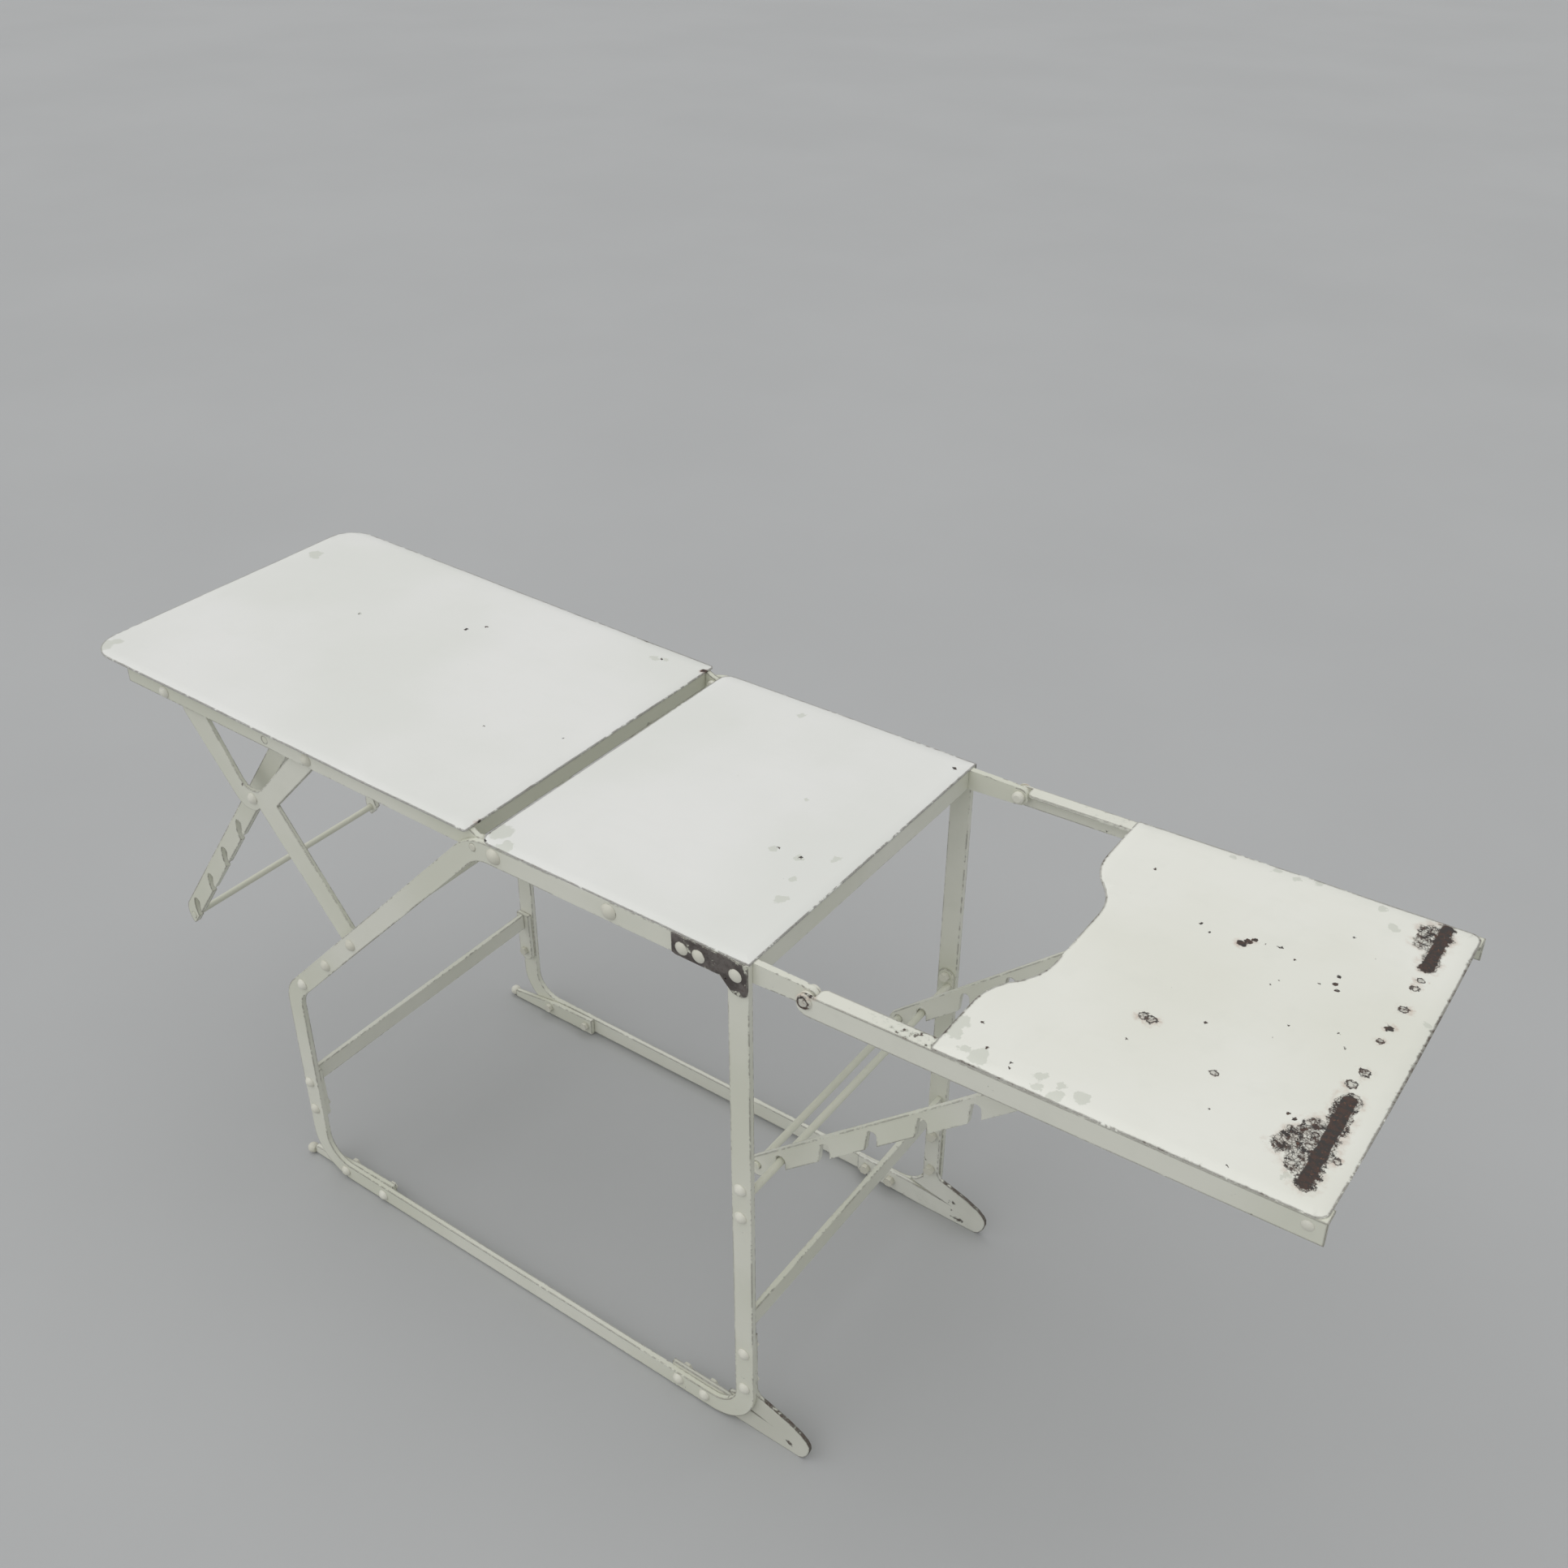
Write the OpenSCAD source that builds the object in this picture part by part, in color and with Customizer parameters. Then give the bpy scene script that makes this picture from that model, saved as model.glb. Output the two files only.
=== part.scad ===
// Examination table of flat steel bars: two closed side hoops, a fixed seat sheet,
// a backrest sheet that hinges up, and a leg sheet that hinges down. Each moving
// sheet is held by a pair of slotted racks that drop over a cross rod.
// Millimetres, +Z up. The patient's head lies toward -X; the origin is on the
// floor, under the middle of the whole table.

/* [Frame bars] */
// Width of the flat bars
bar_w = 28; // [26:1:28]
// Thickness of the flat bars
bar_t = 8; // [6:1:8]
// Diameter of the cross rods
rod_d = 10; // [8:1:10]
// Overall width across the two side hoops
frame_w = 480; // [440:10:560]

// Thickness of the front foot plates
foot_t = 6; // [4:0.5:7]

/* [Heights] */
// Height of the seat sheet above the floor
seat_h = 800; // [790:1:810]
// Thickness of the three top sheets
sheet_t = 2; // [1:0.5:2]

/* [Lengths] */
// Length of the seat sheet
seat_len = 389.7; // [380:0.1:390]
// Length of the backrest sheet
back_len = 713; // [690:1:740]
// Length of the leg sheet
leg_len = 399.4; // [380:0.1:420]
// Upward tilt of the lowered backrest
back_tilt = 1.35; // [1:0.05:1.5]
// Upward tilt of the raised leg section
leg_tilt = 1.56; // [1:0.02:1.8]

/* [Leg sheet cut-out] */
// Depth of the rounded cut-out
cut_d = 41; // [30:1:50]
// Half width of the flat bottom of the cut-out
cut_flat = 49; // [35:1:60]
// Sideways run of each curved side of the cut-out
cut_run = 106; // [90:1:120]

/* [Racks] */
// Thickness of the rack bars
rack_t = 8; // [6:1:8]
// Width of the rack bars
rack_w = 28; // [26:1:28]
// Distance of a backrest rack from the middle
back_rack_y = 183; // [170:1:195]
// Distance of a leg rack from the middle
leg_rack_y = 163; // [140:1:190]

/* [Fixings] */
// Diameter of the large round bolt heads
bolt_big = 22; // [18:1:24]
// Diameter of the small round bolt heads
bolt_small = 18; // [14:1:19]
// Height of the domed bolt heads
bolt_h = 6; // [3:0.5:7]

/* [Hidden] */
$fn = 32;
xs = 252.7;                       // moves the hoop-based layout onto the origin
zt = seat_h;
y0 = frame_w / 2;                 // outer faces of the hoops
y1 = y0 - bar_t;                  // inner faces of the hoops
y2 = y1 - bar_t;                  // inner faces of the second layer
yp = y2 - 6;                      // inner faces of the prop brackets
rail_z = zt - sheet_t - bar_w / 2;
gap = 0.3;
slope = 1.04;
// turning points of a hoop's centre line
knee = [-404.4, rail_z];
heel = [-814, rail_z - slope * 409.6];
back_hinge = [-401, zt - 15];
leg_hinge = [70, zt - 14];
back_org = [-411, zt + 4];
leg_org = [219, zt + 1.1];
rest_rod = [-664, heel[1] + slope * 150];
catch_rod_p = [-10.8, zt - 360];
back_pivot = [-774.2, zt - 6.6];
leg_pivot = [370.2, zt - 9.8];
back_rack_a = 53.5;
leg_rack_a = 42.42;
back_seats = [279, 364.5, 450, 537];
leg_seats = [515.5, 430.5, 345.6, 260.6, 175.7];
c_white = [0.90, 0.90, 0.88];
c_frame = [0.86, 0.86, 0.80];
c_dark = [0.30, 0.27, 0.25];
c_bolt = [0.80, 0.79, 0.74];
c_rod = [0.78, 0.78, 0.74];

// ---------- drawing helpers ----------
function unit(v) = v / norm(v);
function left(v) = [-v[1], v[0]];
function dir(a) = [cos(a), sin(a)];

module place() { translate([xs, 0, 0]) children(); }
// a flat outline (x, z) stood up between two distances from the middle
module slab(yo, yi) {
    translate([0, -yi, 0]) rotate([90, 0, 0]) linear_extrude(yo - yi) children();
}
module both() {
    children();
    mirror([0, 1, 0]) children();
}
module strip(a, b, w) {
    translate(a) rotate(atan2(b[1] - a[1], b[0] - a[0]))
        translate([0, -w / 2]) square([norm(b - a), w]);
}
module sector(c, ro, ri, a0, a1) {
    m = (a0 + a1) / 2;
    k = ro * 1.3;
    translate(c) intersection() {
        difference() { circle(ro); circle(ri); }
        polygon([[0, 0], k * dir(a0), k * dir(m), k * dir(a1)]);
    }
}
// where the two edges that meet at corner i cross, after both move out by h;
// the corners run anticlockwise
function outward(a, b) = -left(unit(b - a));
function corner(p, i, h) =
    let (n = len(p), a = p[(i + n - 1) % n], b = p[i], c = p[(i + 1) % n],
        m = outward(a, b), k = outward(b, c))
    b + h * (m + k) / (1 + m * k);
// closed outline moved out by h, with corner i rounded about the bend's centre
module loop_outline(p, r, h) {
    n = len(p);
    difference() {
        polygon([for (i = [0:n - 1]) corner(p, i, h)]);
        for (i = [0:n - 1]) if (r[i] > 0) {
            c = corner(p, i, -r[i]);
            q = (r[i] + h) * 1.06;
            v = corner(p, i, h);
            m = outward(p[(i + n - 1) % n], p[i]);
            k = outward(p[i], p[(i + 1) % n]);
            difference() {
                polygon([c, c + q * m, c + 1.06 * (v - c), c + q * k]);
                translate(c) circle(r[i] + h);
            }
        }
    }
}
module round_rect(x0, x1, hw, ra, rb) {
    // ra rounds the corners at x0, rb those at x1
    difference() {
        translate([x0, -hw]) square([x1 - x0, 2 * hw]);
        for (m = [-1, 1]) {
            translate([x0, m * hw]) difference() {
                square(2 * ra, center = true);
                translate([ra, -m * ra]) circle(ra);
            }
            translate([x1, m * hw]) difference() {
                square(2 * rb, center = true);
                translate([-rb, -m * rb]) circle(rb);
            }
        }
    }
}
// domed head standing on +Z
module dome(d, h) {
    r = (d * d / 4 + h * h) / (2 * h);
    rotate_extrude() intersection() {
        translate([0, h - r]) circle(r);
        square([d / 2 + 1, h + 1]);
    }
}
module head_at(p, y, d, h) {
    translate([p[0], -y, p[1]]) rotate([90, 0, 0]) dome(d, h);
}
module nut_at(p, y, d, h) {
    translate([p[0], -y + h, p[1]]) rotate([90, 0, 0])
        cylinder(d = d, h = h, $fn = 6);
}
module cross(p, hw, d) {
    translate([p[0], hw, p[1]]) rotate([90, 0, 0]) cylinder(d = d, h = 2 * hw);
}
module back_frame() { translate([back_org[0], 0, back_org[1]]) rotate([0, back_tilt, 0]) children(); }
module leg_frame() { translate([leg_org[0], 0, leg_org[1]]) rotate([0, -leg_tilt, 0]) children(); }
module back2() { translate(back_org) rotate(-back_tilt) children(); }
module leg2() { translate(leg_org) rotate(leg_tilt) children(); }

// ---------- fixed frame ----------
hoop_path = [[-1 - bar_w / 2, rail_z], knee, heel, [-821.2, 3 + bar_w / 2],
    [-1 - bar_w / 2, 3 + bar_w / 2]];
hoop_bends = [0, 60, 51, 56, 56];
module hoop_outline() {
    difference() {
        loop_outline(hoop_path, hoop_bends, bar_w / 2);
        loop_outline(hoop_path, hoop_bends, -bar_w / 2);
        // hairline where the rail's end meets the front leg
        translate([-1.5 - bar_w, rail_z - bar_w]) square([0.5, 2 * bar_w]);
        translate(back_hinge) circle(d = rod_d);
    }
}
module side_frame() { slab(y0, y1) hoop_outline(); }
module side_frame_right() color(c_frame) place() side_frame();
module side_frame_left() color(c_frame) place() mirror([0, 1, 0]) side_frame();

module corner_plate() {
    slab(y0 + 2, y0) difference() {
        polygon([[-103, zt - sheet_t], [-103, zt - 28], [-98, zt - 30],
            [-38, zt - 30], [-22, zt - 46], [-17, zt - 48], [-9, zt - 48],
            [-3, zt - 44], [-1, zt - 36], [-1, zt - sheet_t]]);
        translate([-30, rail_z - 15]) circle(1.2);
    }
}
module corner_plate_right() color(c_dark) place() corner_plate();
module corner_plate_left() color(c_dark) place() mirror([0, 1, 0]) corner_plate();

module seat_rail() {
    slab(y1, y2) difference() {
        union() {
            strip([-385, rail_z], [0, rail_z], bar_w);
            polygon([[0, rail_z - bar_w / 2], [62, zt - 26.5], [72, zt - 25.3],
                leg_hinge + [7, 8], [62, zt - sheet_t], [0, zt - sheet_t]]);
            translate(leg_hinge) circle(11.4);
        }
        translate(leg_hinge) circle(d = rod_d + 0.16);
    }
}
module seat_rail_right() color(c_frame) place() seat_rail();
module seat_rail_left() color(c_frame) place() mirror([0, 1, 0]) seat_rail();

module seat_panel() color(c_white) place()
    translate([0, 0, zt - sheet_t]) linear_extrude(sheet_t)
        round_rect(-seat_len, 0, y0, 16, 3);
module seat_front_bar() color(c_frame) place()
    translate([-9, -y2, zt - sheet_t - bar_w]) cube([bar_t, 2 * y2, bar_w]);
module seat_rear_bar() color(c_frame) place()
    translate([-385, -y2, zt - sheet_t - bar_w]) cube([bar_t, 2 * y2, bar_w]);

// the toe is forged in one piece with its riser; a forging lap runs into its heel
module front_foot() {
    slab(y1, y1 - foot_t)
        polygon([[-142, 7], [-30, 0], [66, 0], [73, 4], [79, 13], [82, 24],
            [81.5, 32], [77, 39], [68, 46.5], [45, 57.5], [2, 71], [-3, 80],
            [-3, 190], [-27, 190], [-27, 62], [-38, 50], [-48, 46],
            [-36, 42], [-22, 38.5], [-8, 35.5], [9, 32.3], [-20, 34.5],
            [-55, 37], [-142, 37]]);
}
module front_foot_right() color(c_dark) place() front_foot();
module front_foot_left() color(c_dark) place() mirror([0, 1, 0]) front_foot();

module heel_bar() {
    slab(y1, y2)
        polygon([[-855.5, 2], [-681, 2], [-681, 31.5], [-760, 29],
            [-855.5, 16]]);
}
module heel_bar_right() color(c_frame) place() heel_bar();
module heel_bar_left() color(c_frame) place() mirror([0, 1, 0]) heel_bar();
module heel_buttons() color(c_bolt) place() both()
    translate([-855.5, -231, 8.5]) rotate([0, -90, 0]) rotate_extrude()
        polygon([[0, 0], [5.4, 0], [7.6, 3], [8.5, 6.5], [7.6, 10.5],
            [5, 13.4], [0, 15]]);

module front_stretcher() color(c_frame) place()
    translate([-15.5, -y1, 202]) cube([bar_t, 2 * y1, bar_w]);
module rear_stretcher() color(c_frame) place()
    translate([-824, -y2, 172]) cube([bar_t, 2 * y2, bar_w]);
module rear_stretcher_tabs() color(c_frame) place() both()
    slab(y1, y2) {
        translate([-833, 116]) square([26, 84]);
        translate([-820, 116]) circle(13);
    }

module catch_rod() color(c_rod) place() cross(catch_rod_p, y1 - 3, rod_d);
module catch_rod_plates() color(c_frame) place() both()
    slab(y1, y1 - 3) {
        translate([-27, 408]) square([24, 47]);
        translate([-15, 408]) circle(12);
        translate([-15, 455]) circle(12);
    }
module backrest_rest_rod() color(c_rod) place() cross(rest_rod, y1, rod_d);

module rail_bolts() color(c_bolt) place() both() {
    head_at([-367.5, zt - 15], y0, bolt_big, bolt_h);
    head_at([-193, zt - 16], y0, bolt_big, bolt_h);
}
module diagonal_bolts() color(c_bolt) place() both() {
    head_at(rest_rod, y0, 18, bolt_h);
    head_at([-727, heel[1] + slope * 87], y0, 18, bolt_h);
    head_at([-789, heel[1] + slope * 25], y0, 18, bolt_h);
}
module corner_bolts() color(c_bolt) place() both() {
    head_at([-89, zt - 18], y0 + 2, bolt_small, 3);
    head_at([-66, zt - 18], y0 + 2, bolt_small, 3);
    head_at([-17, zt - 21], y0 + 2, bolt_small, 3);
}
module rear_leg_bolts() color(c_bolt) place() both() {
    head_at([-821, 177.5], y0, bolt_small, bolt_h);
    head_at([-821, 123], y0, bolt_small, bolt_h);
}
module heel_bolts() color(c_bolt) place() both() {
    head_at([-775.5, 17], y0, bolt_small, bolt_h);
    head_at([-694, 15], y0, bolt_small, bolt_h);
}
module foot_bolts() color(c_bolt) place() both() {
    head_at([-126, 20], y0, bolt_small, bolt_h);
    head_at([-82, 20], y0, bolt_small, bolt_h);
    head_at([-15, 155.5], y0, bolt_small, bolt_h);
    head_at([-15, 86.6], y0, bolt_small, bolt_h);
}
module catch_plate_bolts() color(c_bolt) place() both() {
    head_at([-16.5, 452.5], y0, bolt_small, bolt_h);
    head_at([-16.5, 406], y0, bolt_small, bolt_h);
}
module frame_nuts() color(c_bolt) place() both() {
    nut_at([-367.5, zt - 16], y2, 15, 8);
    nut_at([-193, zt - 16], y2, 17, 8);
    nut_at([-727, heel[1] + slope * 87], y1, 16, 7);
    nut_at([-789, heel[1] + slope * 25], y1, 16, 7);
    nut_at([-821, 123], y2, 15, 7);
    nut_at([-775.5, 17], y2, 15, 7);
    nut_at([-694, 17], y2, 15, 7);
    nut_at([-126, 21], y1 - foot_t, 16, 9);
    nut_at([-82, 21], y1 - foot_t, 16, 9);
    nut_at([-15, 155.5], y1 - foot_t, 16, 9);
    nut_at([-15, 86.6], y1 - foot_t, 16, 9);
    nut_at([-15.5, 456], y1 - 3, 14, 7);
    nut_at([-15.5, 408], y1 - 3, 14, 7);
}
// pin through each hoop into the backrest rail, with a washer head inside
module backrest_hinge_pins() color(c_bolt) place() both()
    translate([back_hinge[0], -y0, back_hinge[1]]) rotate([-90, 0, 0])
        rotate_extrude() polygon([[0, -1], [4, -1], [5, 0], [rod_d / 2, 0],
            [rod_d / 2, 2 * bar_t + gap], [8, 2 * bar_t + gap],
            [8, 2 * bar_t + gap + 3], [6, 2 * bar_t + gap + 5],
            [0, 2 * bar_t + gap + 5]]);

// ---------- backrest ----------
module backrest_panel() color(c_white) place() back_frame()
    translate([0, 0, -sheet_t]) linear_extrude(sheet_t)
        round_rect(-back_len, 0, y0, 45, 4);
module backrest_rail() {
    slab(y1, y2) difference() {
        union() {
            back2() {
                translate([-639, -sheet_t - bar_w]) square([624, bar_w]);
                polygon([[-16, -sheet_t - bar_w], [10.44, -29.9], [18.2, -11],
                    [-2, -sheet_t], [-16, -sheet_t]]);
            }
            translate(back_hinge) circle(11.2);
        }
        translate(back_hinge) circle(d = rod_d + 0.16);
        translate(back_pivot) circle(d = rod_d);
    }
}
module backrest_rail_right() color(c_frame) place() backrest_rail();
module backrest_rail_left() color(c_frame) place() mirror([0, 1, 0]) backrest_rail();
module backrest_hinge_bar() color(c_frame) place() back_frame()
    translate([-10, -y2, -sheet_t - 24]) cube([bar_t, 2 * y2, 24]);
module backrest_head_bar() color(c_frame) place() back_frame()
    translate([-639, -y2, -sheet_t - bar_w]) cube([bar_t, 2 * y2, bar_w]);

module prop_bracket() {
    slab(y2, yp) polygon([[-701, 495], [-692, 496], [-678, 511], [-673, 523],
        [-788, 680], [-702, 768], [-686, 786], [-732, 786], [-751, 765],
        [-815, 696], [-826, 689], [-838, 687], [-849, 689], [-857, 697],
        [-902, 772], [-911, 790], [-958, 790], [-950, 770], [-876, 668],
        [-868, 659], [-858, 653], [-846, 652], [-834, 655], [-827, 661]]);
}
module prop_bracket_right() color(c_frame) place() prop_bracket();
module prop_bracket_left() color(c_frame) place() mirror([0, 1, 0]) prop_bracket();
module backrest_rack_shaft() color(c_rod) place() cross(back_pivot, y1, rod_d);
module prop_bolts() color(c_bolt) place() both() {
    head_at([-974, zt - 3], y1, bolt_small, bolt_h);
    head_at([-696, zt - 8], y1, bolt_small, bolt_h);
    head_at([-838, 674], y2, bolt_small, bolt_h);
}
module prop_nuts() color(c_bolt) place() both() {
    nut_at([-838, 674], yp, 13, 6);
    nut_at([-936, 782], yp, 13, 6);
    nut_at([-708, 782], yp, 13, 6);
}

// ---------- backrest racks ----------
module back_rack() {
    slab(back_rack_y + rack_t / 2, back_rack_y - rack_t / 2)
    translate(back_pivot) rotate(180 + back_rack_a) difference() {
        union() {
            translate([0, -rack_w / 2]) square([561, rack_w]);
            circle(rack_w / 2);
            polygon([[560, -14], [567, -12.5], [574, -9], [580, -4], [585, 3],
                [588, 10], [587, 13], [583, 14], [560, 14]]);
        }
        circle(d = rod_d + 0.16);
        translate([574, 5]) circle(d = rod_d);
        // curved slots: round seat inside, mouth at the lower edge
        for (s = back_seats) {
            translate([s, -1.5]) circle(d = rod_d + 1.4);
            sector([s - 14.8, 37.2], 41.4 + rod_d / 2 + 0.7,
                41.4 - rod_d / 2 - 0.7, -69.2, -22);
        }
    }
}
module backrest_rack_right() color(c_frame) place() back_rack();
module backrest_rack_left() color(c_frame) place() mirror([0, 1, 0]) back_rack();
module backrest_rack_rod() color(c_rod) place()
    cross(back_pivot + 574 * dir(180 + back_rack_a) + 5 * left(dir(180 + back_rack_a)),
        back_rack_y + rack_t / 2 + 1, rod_d);

// ---------- leg section ----------
module leg_panel() color(c_white) place() leg_frame()
    translate([0, 0, -sheet_t]) linear_extrude(sheet_t) {
        cr = (cut_d * cut_d + cut_run * cut_run) / (4 * cut_d);
        yc = cut_flat + cut_run / 2;
        difference() {
            round_rect(0, leg_len, y0, 4, 12);
            translate([-1, -cut_flat]) square([cut_d + 1, 2 * cut_flat]);
            for (m = [0, 1]) mirror([0, m]) {
                intersection() {
                    translate([cut_d - cr, cut_flat]) circle(cr, $fn = 96);
                    translate([-1, cut_flat - 0.01]) square([cut_d + 1, cut_run / 2 + 0.01]);
                }
                difference() {
                    translate([-1, yc - 0.01]) square([cut_d / 2 + 1, cut_run / 2 + 0.01]);
                    translate([cr, cut_flat + cut_run]) circle(cr, $fn = 96);
                }
            }
        }
    }
// angle bar: upright flange outside, flat flange on top, round nose at the hinge
module leg_angle() {
    slab(y0, y0 - 4) difference() {
        union() {
            leg2() translate([-146, -sheet_t - bar_w]) square([146 + leg_len, bar_w]);
            leg2() translate([-146, -sheet_t - bar_w / 2]) circle(bar_w / 2);
        }
        translate(leg_hinge) circle(d = rod_d);
    }
    leg_frame() translate([0, 0, -sheet_t - 4]) linear_extrude(4) difference() {
        translate([-138, -y0 + 0.5]) square([138 + leg_len, 19.5]);
        translate([-138, -y0 + 20]) difference() {
            square(16, center = true);
            translate([8, -8]) circle(8);
        }
    }
}
module leg_angle_right() color(c_frame) place() leg_angle();
module leg_angle_left() color(c_frame) place() mirror([0, 1, 0]) leg_angle();
module leg_end_bar() color(c_frame) place() leg_frame()
    translate([leg_len - 34, -y0 + 20, -sheet_t - 4])
        cube([28, 2 * y0 - 40, 4]);
module leg_rack_shaft() color(c_rod) place() cross(leg_pivot, y0 - 4, rod_d);
module leg_hinge_bolts() color(c_bolt) place() both() {
    translate([leg_hinge[0], -y0, leg_hinge[1]]) rotate([-90, 0, 0])
        rotate_extrude() polygon([[0, -4], [4, -4], [8.2, -2.8], [10, -0.8],
            [10, 0], [rod_d / 2, 0], [rod_d / 2, 4], [9, 4],
            [9, bar_t - gap], [rod_d / 2, bar_t - gap],
            [rod_d / 2, 2 * bar_t + gap], [8, 2 * bar_t + gap],
            [8, 2 * bar_t + gap + 5], [5, 2 * bar_t + gap + 7],
            [0, 2 * bar_t + gap + 7]]);
}
module leg_angle_bolts() color(c_bolt) place() both()
    head_at([602, zt - 1.5], y0, 13, 2);

// ---------- leg racks ----------
module leg_rack_bar() {
    slab(leg_rack_y + rack_t / 2, leg_rack_y - rack_t / 2)
    translate(leg_pivot) rotate(180 + leg_rack_a) difference() {
        union() {
            translate([0, -11.5]) square([12, 23]);
            translate([10, -rack_w / 2]) square([553, rack_w]);
            circle(11.5);
            translate([563, 0]) circle(rack_w / 2);
        }
        circle(d = rod_d + 0.16);
        translate([560, -3]) circle(d = rod_d);
        // slots hang straight down at rest, a little wider at the mouth
        for (s = leg_seats) translate([s, -0.3]) {
            circle(6);
            polygon([[4.4, -4.1], [26.6, 16.3], [13.9, 27.9], [-4.4, 4.1]]);
        }
    }
}
module leg_rack_right() color(c_frame) place() leg_rack_bar();
module leg_rack_left() color(c_frame) place() mirror([0, 1, 0]) leg_rack_bar();
module leg_rack_rod() color(c_rod) place()
    cross(leg_pivot + 560 * dir(180 + leg_rack_a) - 3 * left(dir(180 + leg_rack_a)),
        leg_rack_y + rack_t / 2 + 3, rod_d);

side_frame_right();
side_frame_left();
corner_plate_right();
corner_plate_left();
seat_rail_right();
seat_rail_left();
seat_panel();
seat_front_bar();
seat_rear_bar();
front_foot_right();
front_foot_left();
heel_bar_right();
heel_bar_left();
heel_buttons();
front_stretcher();
rear_stretcher();
rear_stretcher_tabs();
catch_rod();
catch_rod_plates();
backrest_rest_rod();
rail_bolts();
diagonal_bolts();
corner_bolts();
rear_leg_bolts();
heel_bolts();
foot_bolts();
catch_plate_bolts();
frame_nuts();
backrest_hinge_pins();
backrest_panel();
backrest_rail_right();
backrest_rail_left();
backrest_hinge_bar();
backrest_head_bar();
prop_bracket_right();
prop_bracket_left();
backrest_rack_shaft();
prop_bolts();
prop_nuts();
backrest_rack_right();
backrest_rack_left();
backrest_rack_rod();
leg_panel();
leg_angle_right();
leg_angle_left();
leg_end_bar();
leg_rack_shaft();
leg_hinge_bolts();
leg_angle_bolts();
leg_rack_right();
leg_rack_left();
leg_rack_rod();
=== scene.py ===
import math

import bmesh
import bpy
import numpy as np
from mathutils import Matrix, Vector
from mathutils import noise as mnoise


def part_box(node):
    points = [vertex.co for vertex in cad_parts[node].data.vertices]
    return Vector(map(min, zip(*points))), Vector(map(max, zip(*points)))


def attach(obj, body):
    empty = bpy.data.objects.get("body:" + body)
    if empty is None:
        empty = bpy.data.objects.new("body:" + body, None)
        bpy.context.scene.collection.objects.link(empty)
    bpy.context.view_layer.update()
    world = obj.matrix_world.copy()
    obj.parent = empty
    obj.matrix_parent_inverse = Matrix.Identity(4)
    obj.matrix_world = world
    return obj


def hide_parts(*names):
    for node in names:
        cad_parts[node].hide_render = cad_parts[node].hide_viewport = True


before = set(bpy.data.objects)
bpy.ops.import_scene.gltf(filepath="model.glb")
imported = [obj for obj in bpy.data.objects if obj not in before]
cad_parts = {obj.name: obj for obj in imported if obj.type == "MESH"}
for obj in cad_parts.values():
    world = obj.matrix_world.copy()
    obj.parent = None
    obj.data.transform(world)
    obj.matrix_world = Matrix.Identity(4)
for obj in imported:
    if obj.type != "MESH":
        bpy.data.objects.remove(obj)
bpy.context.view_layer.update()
SC = bpy.context.scene


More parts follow.
